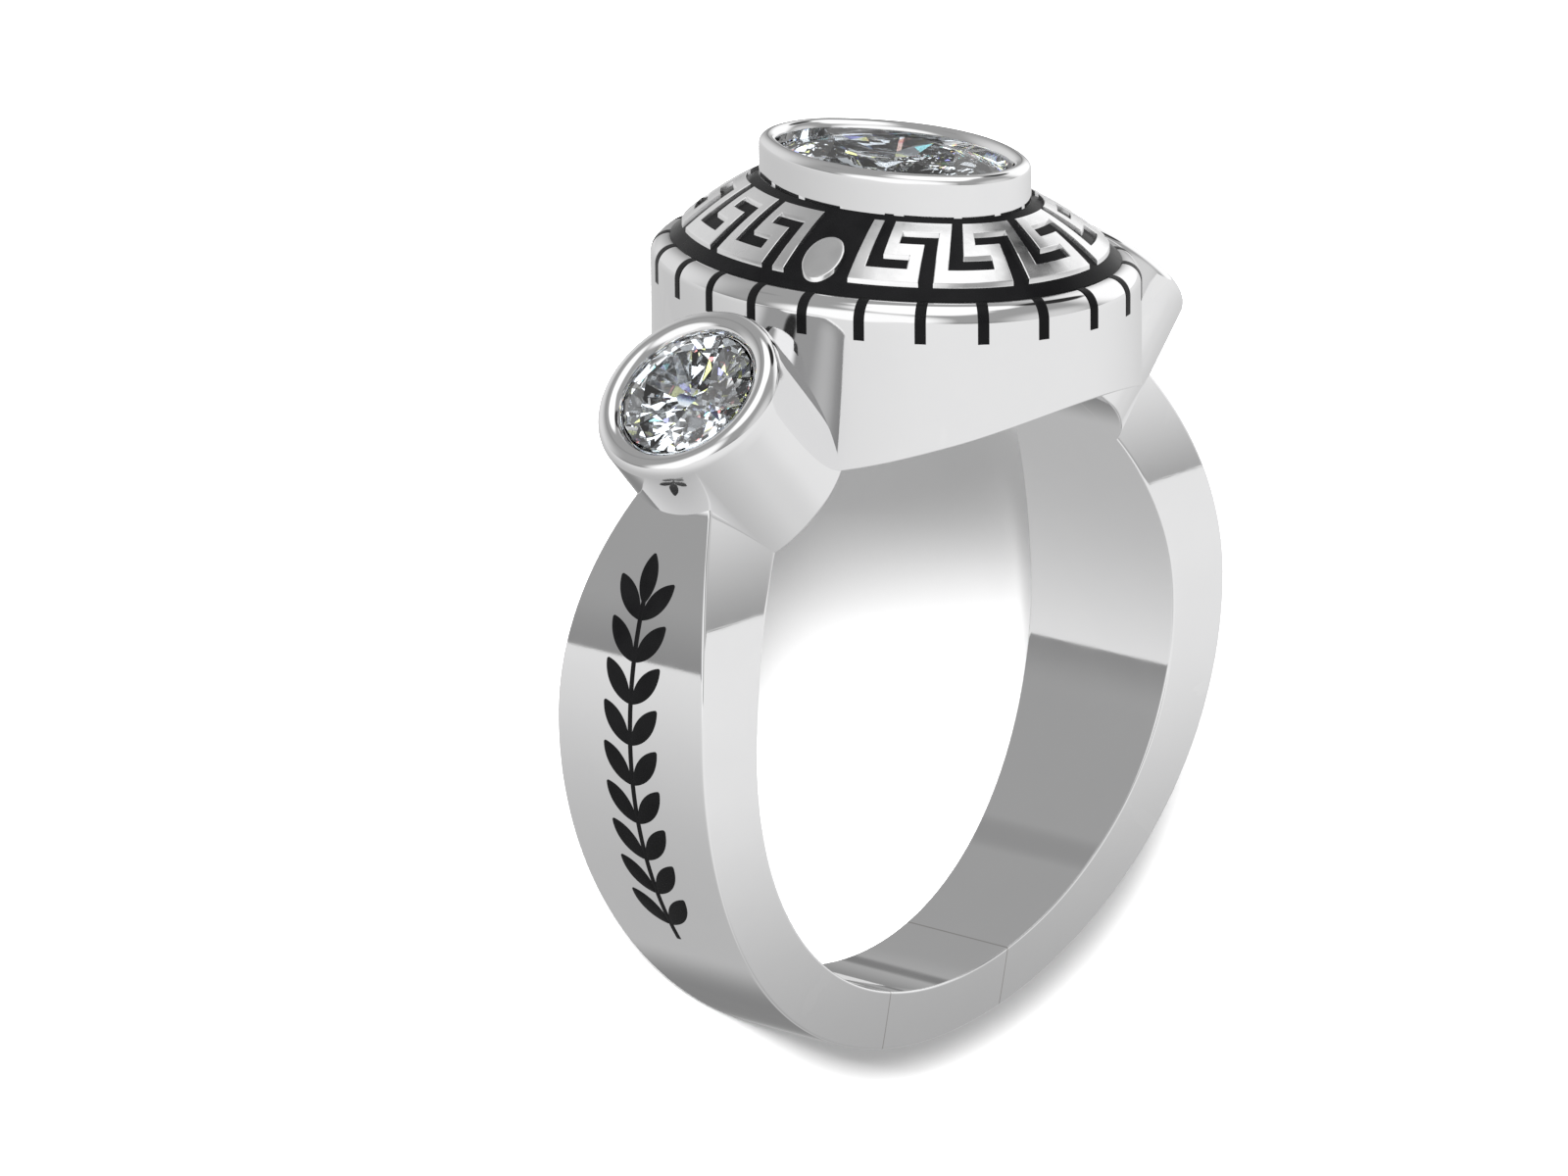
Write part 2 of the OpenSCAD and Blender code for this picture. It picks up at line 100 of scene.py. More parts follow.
GIRDLE_T = 0.16 * CROWN_H
foot_z = OUTER_Z - OUTER_R
foot_y = SIDE_W / 2 - LOW_SIDE_R + math.sqrt(LOW_SIDE_R**2 - (foot_z - WIDEST_Z) ** 2)
LEAN = math.atan((HEAD_L / 2 - foot_y) / (FINGER_R - foot_z))
REST_LOW = -HEAD_L / 2 * math.cos(LEAN) + FINGER_R * math.sin(LEAN)
back_y = -foot_y * math.sin(LEAN) + foot_z * math.cos(LEAN)
front_y = (STONE_L / 2 + BEZEL_WALL) * math.sin(LEAN) + BEZEL_TOP * math.cos(LEAN)
MIDDLE_Y = (front_y + back_y) / 2
COS, SIN = math.cos(LEAN), math.sin(LEAN)


def turned(v):
    """Directions of the ring's frame as those of the scene, where the ring lies on its side:
    X stays, and Y and Z are turned about it by the lean."""
    x, y, z = np.moveaxis(np.asarray(v, float), -1, 0)
    return np.stack([x, y * SIN + z * COS, -y * COS + z * SIN], -1)


def placed(points):
    """Points of the ring's frame in millimetres as points of the scene in metres."""
    return (turned(points) - [0, MIDDLE_Y, REST_LOW]) * 0.001


# Meshes

def faces_of(grid, wrap_rows=False, wrap_columns=False):
    """Quads between neighbours in a grid of vertex numbers, joined up at its ends if it wraps."""
    if wrap_rows:
        grid = np.vstack([grid, grid[:1]])
    if wrap_columns:
        grid = np.hstack([grid, grid[:, :1]])
    corners = grid[:-1, :-1], grid[:-1, 1:], grid[1:, 1:], grid[1:, :-1]
    return np.stack(corners, -1).reshape(-1, 4)


def loop_surface(rows):
    """A surface through closed rows of points, of which the first and last are single points."""
    rows = np.asarray(rows)
    grid = np.arange(rows.shape[0] * rows.shape[1]).reshape(rows.shape[:2])
    return rows.reshape(-1, 3), faces_of(grid, wrap_columns=True)


def slab(top, bottom):
    """A closed shell between two grids of points of one shape: both grids and the strip
    between their edges."""
    count = top.shape[0] * top.shape[1]
    grid = np.arange(count).reshape(top.shape[:2])
    rim = np.concatenate([grid[0, :-1], grid[:-1, -1], grid[-1, :0:-1], grid[:0:-1, 0]])
    rim_faces = faces_of(np.stack([rim, rim + count]), wrap_columns=True)
    faces = np.vstack([faces_of(grid), faces_of(grid)[:, ::-1] + count, rim_faces[:, ::-1]])
    return np.vstack([top.reshape(-1, 3), bottom.reshape(-1, 3)]), faces


def joined(parts):
    """Several shells as one list of points and one of faces."""
    start, points, faces = 0, [], []
    for p, f in parts:
        points.append(p)
        faces.append(np.asarray(f) + start)
        start += len(p)
    return np.vstack(points), np.vstack(faces)


def added(name, mesh, material, node):
    """The object of a finished mesh, on the ring's body and in place of its CAD node."""
    mesh.materials.append(material)
    obj = bpy.data.objects.new(name, mesh)
    bpy.context.scene.collection.objects.link(obj)
    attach(obj, "root")
    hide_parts(node)


def piece(name, shell, material, node):
    """An object from a closed shell in ring millimetres, with points at the same place merged
    and the faces turned outwards."""
    points, faces = shell
    mesh = bpy.data.meshes.new(name)
    mesh.from_pydata(placed(points).tolist(), [], np.asarray(faces).tolist())
    work = bmesh.new()
    work.from_mesh(mesh)
    bmesh.ops.remove_doubles(work, verts=work.verts, dist=2e-8)
    bmesh.ops.dissolve_degenerate(work, edges=work.edges, dist=1e-9)
    bmesh.ops.recalc_face_normals(work, faces=work.faces)
    work.to_mesh(mesh)
    work.free()
    mesh.shade_smooth()
    mesh.set_sharp_from_angle(angle=math.radians(35))
    added(name, mesh, material, node)


# The oval that every line of the head follows

def oval_arcs(offset):
    """Lengths of half a flank and half an end of the oval at an offset: radius times turn."""
    return (FLANK_R + offset) * FLANK_TURN, (END_R + offset) * (math.pi / 2 - FLANK_TURN)


def oval_length(offset):
    """Length all round the oval at an offset."""
    return 4 * sum(oval_arcs(offset))


def oval_run(offset, run):
    """Outward angle at a distance along the oval at an offset, measured from the middle of the
    right flank: each quarter is half a flank and half an end, run forwards or backwards."""
    flank, end = oval_arcs(offset)
    quarter = flank + end
    run = np.asarray(run, float) % (4 * quarter)
    arc = np.floor(run / quarter)
    within = np.where(arc % 2 == 0, run - arc * quarter, (arc + 1) * quarter - run)
    on_end = FLANK_TURN + (within - flank) / (END_R + offset)
    turn = np.where(within < flank, within / (FLANK_R + offset), on_end)
    return np.where(arc % 2 == 0, arc * math.pi / 2 + turn, (arc + 1) * math.pi / 2 - turn)


def oval_point(angle, offset):
    """X and Y on the four-arc oval: the arc's centre plus its radius along the outward angle."""
    across, along = np.cos(angle), np.sin(angle)
    on_flank = np.abs(along) <= math.sin(FLANK_TURN) + 1e-12
    x = np.where(on_flank, -np.sign(across) * FLANK_X, 0.0)
    y = np.where(on_flank, 0.0, np.sign(along) * END_Y)
    radius = np.where(on_flank, FLANK_R, END_R) + offset
    return x + radius * across, y + radius * along


def on_head(angle, offset, z):
    """Points of the head at an outward angle, an offset from its wall and a height."""
    x, y = oval_point(angle, offset)
    return np.stack(np.broadcast_arrays(x, y, z), -1)


def slope_z(offset):
    """Height of the slope at an offset: a straight rise plus a bulge."""
    share = (-SHOULDER_R - offset) / SLOPE_W
    return SLOPE_LOW + share * SLOPE_H + 4 * SLOPE_BULGE * share * (1 - share)


def arc_points(middle, radius, start, end, count):
    """Points of a profile along an arc, with the angles in degrees."""
    turn = np.radians(np.linspace(start, end, count))
    return np.stack([middle[0] + radius * np.cos(turn), middle[1] + radius * np.sin(turn)], -1)


def head_shell():
    """The head: rows of the same oval carried from the middle of its underside, up the wall,
    over the shoulder, through the enamel's recess, over the bezel and down into the well."""
    count = 480
    angle = oval_run(0.0, np.arange(count) / count * oval_length(0.0))
    under_r = FINGER_R + HEAD_CLEAR
    rows = []
    for share in np.linspace(0, 1, 40):
        x, y = oval_point(angle, -2 * UNDER_SOFT)
        rows.append(np.stack([x * share, y * share, np.sqrt(under_r**2 - (x * share) ** 2)], -1))
    for offset, rise in arc_points((-UNDER_SOFT, UNDER_SOFT), UNDER_SOFT, -90, 0, 5):
        foot = np.sqrt(under_r**2 - oval_point(angle, offset)[0] ** 2)
        rows.append(on_head(angle, offset, foot + rise))
    for share in np.linspace(0, 1, 14):
        low = foot + UNDER_SOFT + UNDER_BAND
        rows.append(on_head(angle, 0.0, low * (1 - share) + WALL_TOP * share))
    floor = np.linspace(-SHOULDER_R - 0.05, BEZEL_OFFSET + 0.02, 6)
    rim_z = BEZEL_TOP - BEZEL_WALL / 2
    rim = (SEAT_OFFSET + BEZEL_WALL / 2, rim_z)
    pavilion_h = PAVILION * STONE_W
    ledge_z = GIRDLE_Z - GIRDLE_T - 1.5 * GAP
    well = SEAT_OFFSET - LEDGE_W
    well_z = ledge_z - 4 * LEDGE_W / STONE_W * pavilion_h
    profile = np.vstack([
        arc_points((-SHOULDER_R, WALL_TOP), SHOULDER_R, 0, 90, 19)[1:],
        [[-SHOULDER_R - 0.004, SLOPE_LOW]],
        arc_points((-SHOULDER_R - 0.004, SLOPE_LOW - 0.014), 0.014, 90, 180, 4)[1:],
        np.stack([floor, slope_z(floor) - ENAMEL_T], -1),
        [[BEZEL_OFFSET, SLOPE_TOP - ENAMEL_T]],
        np.stack([np.full(8, BEZEL_OFFSET), np.linspace(SLOPE_TOP - 0.1, rim_z, 8)], -1),
        arc_points(rim, BEZEL_WALL / 2, 0, 180, 25)[1:],
        [[SEAT_OFFSET, ledge_z + 0.02], [SEAT_OFFSET, ledge_z]],
        [[well + 0.01, well_z], [well, well_z - 0.01]],
        [[well, GIRDLE_Z - GIRDLE_T - pavilion_h - WELL_SPARE * CROWN_H]],
    ])
    rows += [on_head(angle, offset, z) for offset, z in profile]
    x, y = oval_point(angle, well)
    for share in (0.97, 0.5, 0.0):
        rows.append(np.stack([x * share, y * share, np.full(count, profile[-1, 1])], -1))
    return loop_surface(rows)


def setting_shell(side):
    """A side setting: circles round its axis carried from its underside, which lies on the finger
    hole, up the wall, over the lip and down into the well."""
    count = 160
    turn = np.arange(count) / count * 2 * math.pi
    axis = np.array([side * math.sin(TILT), 0, math.cos(TILT)])
    first = np.array([side * math.cos(TILT), 0, -math.sin(TILT)])
    under_r = FINGER_R + SETTING_CLEAR

    def circle(radius, height):
        flat = radius * (np.cos(turn)[:, None] * first + np.sin(turn)[:, None] * [0, 1, 0])
        return flat + np.broadcast_to(height, (count,))[:, None] * axis

    def on_hole(radius):
        return np.sqrt(under_r**2 - (radius * np.cos(turn)) ** 2)

    rows = [circle(r, on_hole(r)) for r in np.linspace(0, SETTING_R - 2 * UNDER_SOFT, 24)]
    edge = arc_points((SETTING_R - UNDER_SOFT, UNDER_SOFT), UNDER_SOFT, -90, 0, 5)
    rows += [circle(r, on_hole(r) + rise) for r, rise in edge]
    low, high = on_hole(SETTING_R) + UNDER_SOFT + UNDER_BAND, SETTING_TOP - LIP_R
    rows += [circle(SETTING_R, low * (1 - t) + high * t) for t in np.linspace(0, 1, 12)]
    ledge_z = SIDE_GIRDLE - GIRDLE_T - 1.5 * GAP
    bore, well = SIDE_STONE_R + GAP, SIDE_WELL * SIDE_STONE_R
    pavilion_h = PAVILION * 2 * SIDE_STONE_R
    well_z = ledge_z - SIDE_WELL_DEPTH * pavilion_h
    bottom_z = SIDE_GIRDLE - GIRDLE_T - pavilion_h - WELL_SPARE * SIDE_CROWN_H
    profile = np.vstack([
        arc_points((SETTING_R - LIP_R, SETTING_TOP - LIP_R), LIP_R, 0, 180, 25)[1:],
        [[bore, ledge_z]],
        [[well + 0.01, well_z], [well, well_z - 0.01]],
        [[share * well, bottom_z] for share in (1, 0.5, 0)],
    ])
    return loop_surface(rows + [circle(r, z) for r, z in profile])


def half_width(z):
    """Half the shank's width at a height: two arcs that meet where it is widest."""
    radius = np.where(z > WIDEST_Z, HIGH_SIDE_R, LOW_SIDE_R)
    return SIDE_W / 2 - radius + np.sqrt(radius**2 - (z - WIDEST_Z) ** 2)


def shank_shell():
    """The shank: a rectangle with softened corners carried round the finger hole. Its thickness at
    each angle runs from the hole to the outer circle, and its width follows the height."""
    soft = 0.045
    corner = arc_points((0, 0), soft, 0, 90, 6)
    across = np.linspace(-0.96, 0.96, 17)
    deep = np.linspace(0.045, 0.955, 9)
    ring = [(1, 0, w, 0) for w in across]
    ring += [(1, -soft + s, 1, -soft + c) for c, s in corner[::-1]]
    ring += [(d, 0, 1, 0) for d in deep[::-1]]
    ring += [(0, soft - c, 1, -soft + s) for c, s in corner[::-1]]
    ring += [(0, 0, w, 0) for w in across[::-1]]
    ring += [(0, soft - s, -1, soft - c) for c, s in corner[::-1]]
    ring += [(d, 0, -1, 0) for d in deep]
    ring += [(1, -soft + c, -1, soft - s) for c, s in corner[::-1]]
    ring = np.array(ring)
    end = math.pi / 2 - TILT
    angle = np.linspace(math.pi - end, 2 * math.pi + end, 420)[:, None]
    reach = OUTER_Z * np.sin(angle)
    outer = reach + np.sqrt(OUTER_R**2 - OUTER_Z**2 + reach**2)
    deep, inset, share, side = ring.T
    radius = FINGER_R + (outer - FINGER_R) * deep + inset
    z = radius * np.sin(angle)
    y = half_width(z) * share + side
    rows = np.stack([radius * np.cos(angle), y, z], -1)
    start, stop = rows[:1].mean(1, keepdims=True), rows[-1:].mean(1, keepdims=True)
    ones = np.ones_like(rows[:1])
    return loop_surface(np.concatenate([start * ones, rows, stop * ones]))


# Enamel and relief

def enamel_shell():
    """The slope's enamel, dished a little between the metal edges that it fills up to, and a
    strip in each notch, laid over the shoulder to the foot of the notch."""
    count = 480
    angle = oval_run(0.0, np.arange(count + 1) / count * oval_length(0.0))
    offset = np.linspace(-SHOULDER_R - 0.018, BEZEL_OFFSET + 0.004, 40)
    share = (-SHOULDER_R - offset) / SLOPE_W
    climb, reach, sink, thick = 0.012, 0.02, 0.004, 0.15
    dish = climb * np.exp(-share / reach) + climb * np.exp(-(1 - share) / reach) - sink
    top = np.stack([on_head(angle, o, slope_z(o) + d) for o, d in zip(offset, dish)])
    bottom = np.stack([on_head(angle, o, slope_z(o) - thick) for o in offset])
    rows = np.concatenate([top, bottom[::-1]])[:, :-1]
    grid = np.arange(rows.shape[0] * rows.shape[1]).reshape(rows.shape[:2])
    parts = [(rows.reshape(-1, 3), faces_of(grid, wrap_rows=True, wrap_columns=True))]

    shoulder = arc_points((-SHOULDER_R, WALL_TOP), SHOULDER_R, 90, 0, 16)
    drop = np.stack([np.zeros(9), np.linspace(WALL_TOP, WALL_TOP - NOTCH_DROP, 9)], -1)
    path = np.vstack([[[-SHOULDER_R - 0.1, SLOPE_LOW + 0.05]], shoulder, drop[1:]])
    out = np.vstack([
        [[0, 1]], arc_points((0, 0), 1, 90, 0, 16), np.tile([[1.0, 0.0]], (8, 1))
    ])
    across = np.array([-1, -0.985, -0.94, -0.5, 0, 0.5, 0.94, 0.985, 1]) * NOTCH_W / 2
    proud = np.array([-0.03, 0.002, 0.006, 0.006, 0.006, 0.006, 0.006, 0.002, -0.03])
    depth = 0.1
    for number in range(NOTCHES):
        middle = oval_run(0.0, number / NOTCHES * oval_length(0.0) + NOTCH_SHIFT)
        tangent = np.array([-np.sin(middle), np.cos(middle), 0])
        lift = np.tile(proud, (len(path), 1))
        lift[-1] = -0.03
        x, y = oval_point(middle, path[:, 0][:, None] + lift * out[:, 0][:, None])
        z = path[:, 1][:, None] + lift * out[:, 1][:, None]
        top = np.stack([x, y, z], -1) + across[None, :, None] * tangent
        x, y = oval_point(middle, (path[:, 0] - depth * out[:, 0])[:, None] + 0 * lift)
        low = (path[:, 1] - depth * out[:, 1])[:, None] + 0 * lift
        bottom = np.stack([x, y, low], -1) + across[None, :, None] * tangent
        parts.append(slab(top, bottom))
    return joined(parts)


def fine_lines(count, edge, between):
    """Grid lines for a row of unit cells: two close to each side of every cell's edge, and
    some between."""
    lines = [-3 * edge, -edge]
    for cell in range(count):
        inner = np.linspace(7 * edge, 1 - 7 * edge, between)
        lines += [cell + edge, cell + 4 * edge, *(cell + inner)]
        lines += [cell + 1 - 4 * edge, cell + 1 - edge]
    return np.array(lines + [count + edge, count + 3 * edge])


def key_cells():
    """Which unit cells the key pattern fills: one line that folds back in every key."""
    cells = np.zeros((5, 6 * KEYS + 1), bool)
    for key in range(KEYS + 1):
        at = 6 * key
        cells[:, at] = True
        if key < KEYS:
            cells[4, at:at + 5] = True
            cells[2:, at + 4] = True
            cells[2, at + 2:at + 5] = True
            cells[:3, at + 2] = True
            cells[0, at + 2:at + 7] = True
    return cells


def relief_height(run, row, cells, edge):
    """Height of the relief over the slope: full inside the filled cells, softened at their
    edges, and sunk under the enamel outside them."""
    def filled(r, c):
        inside = (r >= 0) & (c >= 0) & (r < cells.shape[0]) & (c < cells.shape[1])
        return inside & cells[np.clip(r, 0, cells.shape[0] - 1), np.clip(c, 0, cells.shape[1] - 1)]

    at_row, at_run = np.floor(row).astype(int), np.floor(run).astype(int)
    here = filled(at_row, at_run)
    near = np.ones_like(run)
    sides, corners = ((0, 1), (0, -1), (1, 0), (-1, 0)), ((1, 1), (1, -1), (-1, 1), (-1, -1))
    for step_row, step_run in sides + corners:
        open_side = ~filled(at_row + step_row, at_run + step_run)
        gap_run = {1: at_run + 1 - run, -1: run - at_run, 0: np.zeros_like(run)}[step_run]
        gap_row = {1: at_row + 1 - row, -1: row - at_row, 0: np.zeros_like(row)}[step_row]
        distance = np.hypot(gap_run, gap_row)
        near = np.where(open_side, np.minimum(near, distance), near)
    bevel, sunk = 0.012, 0.05
    soft = np.clip((near - edge) / (3 * edge), 0, 1)
    return np.where(here, RELIEF_H - bevel * (1 - soft) ** 2, -sunk)


def relief_shell():
    """The key pattern in both halves of the slope, as a height over a grid of unit cells, and
    the round bosses between them, as circles that drop at their edge."""
    cells = key_cells()
    edge, depth = 0.013, 0.12
    run_lines = fine_lines(6 * KEYS + 1, edge, 3)
    row_lines = fine_lines(5, edge, 4)
    run, row = np.meshgrid(run_lines, row_lines)
    height = relief_height(run, row, cells, edge)
    half_run = oval_length(KEY_OFFSET) / 2
    start = (half_run - (6 * KEYS + 1) * STROKE) / 2 + KEY_SHIFT
    offset = KEY_OFFSET + (row - 2.5) * STROKE
    parts = []
    for half in (0, 1):
        angle = oval_run(KEY_OFFSET, half * half_run + start + run * STROKE)
        top = on_head(angle, offset, slope_z(offset) + height)
        bottom = on_head(angle, offset, slope_z(offset) - depth)
        parts.append(slab(top, bottom))
    turn = np.arange(64) / 64 * 2 * math.pi
    round_turn = KEY_SHIFT / (FLANK_R + KEY_OFFSET)
    centre_r = FLANK_R + KEY_OFFSET + BOSS_OUT
    centre = np.array([centre_r * math.cos(round_turn) - FLANK_X, centre_r * math.sin(round_turn)])
    share = np.array([0, 0.3, 0.6, 0.85, 0.93, 0.965, 0.985, 1.0, 1.0])[:, None]
    lift = RELIEF_H - np.array([0, 0, 0, 0, 0.001, 0.004, 0.01, 0.02, 0.25])[:, None]
    for way in (1, -1):
        x = way * (centre[0] + share * BOSS_D / 2 * np.cos(turn))
        y = way * (centre[1] + share * BOSS_D / 2 * np.sin(turn))
        offset = np.hypot(np.abs(x) + FLANK_X, y) - FLANK_R
        rows = np.stack([x, y, slope_z(offset) + lift], -1)
        base = rows[-1:].mean(1, keepdims=True) - [0, 0, 0.05]
        parts.append(loop_surface(np.concatenate([rows, base * np.ones((1, 64, 1))])))
    return joined(parts)


def laurel_shell(side):
    """A sprig on the shank's outer face: lens-shaped leaves in pairs along a stem, each a little
    domed, bent round the outer circle."""
    depth, sunk, lift, dome = 0.06, 0.03, 0.006, 0.012
    stem_lift, stem_dome = 0.004, 0.008
    shares = [-1, -0.97, -0.8, -0.4, 0, 0.4, 0.8, 0.97, 1]
    along, across = np.meshgrid(np.linspace(-1, 1, 33), shares, indexing="ij")
    bend = arc_radius(LEAF_L / 2, LEAF_W / 2)
    length = along * LEAF_L / 2
    breadth = across * (np.sqrt(bend**2 - length**2) - (bend - LEAF_W / 2))
    rise = np.where(np.abs(across) > 0.99, -sunk, lift + dome * (1 - across**2))
    rise = np.where(np.abs(along) > 0.99, -sunk, rise)

    def wrapped(low_angle, y, out):
        radius = OUTER_R + out
        x, z = side * radius * np.cos(low_angle), OUTER_Z - radius * np.sin(low_angle)
        return np.stack([x, y, z], -1)

    def leaf(low_angle, y, turn):
        a = length * math.cos(turn) - breadth * math.sin(turn)
        b = length * math.sin(turn) + breadth * math.cos(turn)
        angle = low_angle - a / OUTER_R
        return slab(wrapped(angle, y + b, rise), wrapped(angle, y + b, rise * 0 - depth))

    pair = LEAF_STEP / OUTER_R
    ahead = LEAF_L / 2 * math.cos(LEAF_TURN) / OUTER_R
    spread = LEAF_L / 2 * math.sin(LEAF_TURN) + STEM_W / 4
    parts = []
    for number in range(LEAF_PAIRS):
        low_angle = STEM_LOW - number * pair - pair / 2 - ahead
        parts += [leaf(low_angle, way * spread, way * LEAF_TURN) for way in (-1, 1)]
    parts.append(leaf(STEM_LOW - LEAF_PAIRS * pair - ahead, 0, 0))
    stem = np.linspace(STEM_LOW, STEM_LOW - LEAF_PAIRS * pair, 80)
    angle, across = np.meshgrid(stem, [-1, -0.9, -0.5, 0, 0.5, 0.9, 1], indexing="ij")
    rise = np.where(np.abs(across) > 0.99, -sunk, stem_lift + stem_dome * (1 - across**2))
    y = across * STEM_W / 2
    parts.append(slab(wrapped(angle, y, rise), wrapped(angle, y, rise * 0 - depth)))
    return joined(parts)


# Stones

def brilliant(half_x, half_y, crown, pavilion):
    """A brilliant cut: table, stars, kites, upper halves, girdle, lower halves and mains, on rows
    of points that are shares of the girdle's outline."""
    table, star, low = 0.56, 0.79, 0.24
    unit = (half_y - half_x) / 2
    small_r = half_y - 3 * unit
    large_r = small_r + 5 * unit

    def outline(turn):
        aim = np.stack([half_x * np.cos(turn), half_y * np.sin(turn)], -1)
        way = aim / np.linalg.norm(aim, axis=-1, keepdims=True)
        x, y = np.abs(way[:, 0]), np.abs(way[:, 1])
        flank = np.sqrt((4 * unit * x) ** 2 + large_r**2 - (4 * unit) ** 2) - 4 * unit * x
        end = 3 * unit * y + np.sqrt(np.maximum(0, small_r**2 - (3 * unit * x) ** 2))
        return way * np.where(flank * y > 3 * unit + flank * x * 0.75, end, flank)[:, None]

    def ring(count, first, share, z):
        turn = first + np.arange(count) * 2 * math.pi / count
        return np.column_stack([share * outline(turn), np.full(count, z)])

    eighth = math.pi / 8
    points = np.vstack([
        ring(8, 0, table, crown),
        ring(8, eighth, star, crown * (1 - star * math.cos(eighth)) / (1 - table)),
        ring(16, 0, 1, 0),
        ring(16, 0, 1, -GIRDLE_T),
        ring(8, eighth, low, -GIRDLE_T - pavilion * (1 - low * math.cos(eighth))),
        [[0, 0, -GIRDLE_T - pavilion]],
    ])
    faces = [list(range(8))]
    for i in range(8):
        back, nxt = (i + 7) % 8, (i + 1) % 8
        faces += [
            [8 + i, nxt, i], [8 + back, 16 + 2 * i, 8 + i, i],
            [16 + 2 * i, 17 + 2 * i, 8 + i], [17 + 2 * i, 16 + (2 * i + 2) % 16, 8 + i],
            [33 + 2 * i, 32 + 2 * i, 48 + i], [32 + (2 * i + 2) % 16, 33 + 2 * i, 48 + i],
            [48 + i, 32 + 2 * i, 48 + back, 56],
        ]
    faces += [[16 + i, 32 + i, 32 + (i + 1) % 16, 16 + (i + 1) % 16] for i in range(16)]
    return points, faces


def stone(name, points, faces, material, node):
    """A facetted stone with flat faces."""
    mesh = bpy.data.meshes.new(name)
    mesh.from_pydata(placed(points).tolist(), [], faces)
    work = bmesh.new()
    work.from_mesh(mesh)
    bmesh.ops.recalc_face_normals(work, faces=work.faces)
    work.to_mesh(mesh)
    work.free()
    mesh.shade_flat()
    added(name, mesh, material, node)


# Materials

def material(name):
    """A node material, with its nodes, its links and its shader."""
    made = bpy.data.materials.new(name)
    made.use_nodes = True
    return made, made.node_tree.nodes, made.node_tree.links, made.node_tree.nodes["Principled BSDF"]


def noise(nodes, links, scale, detail, stretch=None):
    """Noise over Object coordinates, drawn out along some axes if a stretch is given."""
    place = nodes.new("ShaderNodeTexCoord")
    pattern = nodes.new("ShaderNodeTexNoise")
    pattern.inputs["Scale"].default_value = scale
    pattern.inputs["Detail"].default_value = detail
    if stretch is None:
        links.new(place.outputs["Object"], pattern.inputs["Vector"])
    else:
        mapping = nodes.new("ShaderNodeMapping")
        mapping.inputs["Scale"].default_value = stretch
        mapping.inputs["Rotation"].default_value = (0.4, 0.7, 0.3)
        links.new(place.outputs["Object"], mapping.inputs["Vector"])
        links.new(mapping.outputs["Vector"], pattern.inputs["Vector"])
    return pattern.outputs["Fac"]


def ranged(nodes, links, value, start, end, low, high):
    """A value from start to end as one from low to high."""
    step = nodes.new("ShaderNodeMapRange")
    links.new(value, step.inputs["Value"])
    for name, number in (("From Min", start), ("From Max", end), ("To Min", low), ("To Max", high)):
        step.inputs[name].default_value = number
    return step.outputs["Result"]


def combined(nodes, links, operation, first, second):
    """A value and another value or a number, put together by one operation."""
    node = nodes.new("ShaderNodeMath")
    node.operation = operation
    for socket, value in ((node.inputs[0], first), (node.inputs[1], second)):
        if isinstance(value, (int, float)):
            socket.default_value = value
        else:
            links.new(value, socket)
    return node.outputs["Value"]


def mixed(nodes, links, factor, first, second):
    """One colour turned into another as a factor rises."""
    mix = nodes.new("ShaderNodeMix")
    mix.data_type = "RGBA"
    links.new(factor, mix.inputs[0])
    for socket, colour in ((mix.inputs[6], first), (mix.inputs[7], second)):
        if isinstance(colour, tuple):
            socket.default_value = colour
        else:
            links.new(colour, socket)
    return mix.outputs[2]


def bumped(nodes, links, shader, height, strength, distance):
    """A height in the surface."""
    bump = nodes.new("ShaderNodeBump")
    bump.inputs["Strength"].default_value = strength
    bump.inputs["Distance"].default_value = distance
    links.new(height, bump.inputs["Height"])
    links.new(bump.outputs["Normal"], shader.inputs["Normal"])


def seam_lines(nodes, links):
    """One on the two hairlines at the foot, where X is a seam's distance from the middle, and
    nothing elsewhere. The widths are in metres, as Object coordinates are."""
    place = nodes.new("ShaderNodeTexCoord")
    axes = nodes.new("ShaderNodeSeparateXYZ")
    links.new(place.outputs["Object"], axes.inputs["Vector"])
    aside = combined(nodes, links, "ABSOLUTE", axes.outputs["X"], 0)
    off = combined(nodes, links, "SUBTRACT", aside, SEAM_X * 0.001)
    off = combined(nodes, links, "ABSOLUTE", off, 0)
    within, beyond, foot_from, foot_to = 0.000018, 0.00003, -0.0086, -0.0085
    line = ranged(nodes, links, off, within, beyond, 1.0, 0.0)
    at_foot = ranged(nodes, links, axes.outputs["Y"], foot_from, foot_to, 1.0, 0.0)
    return combined(nodes, links, "MULTIPLY", line, at_foot)


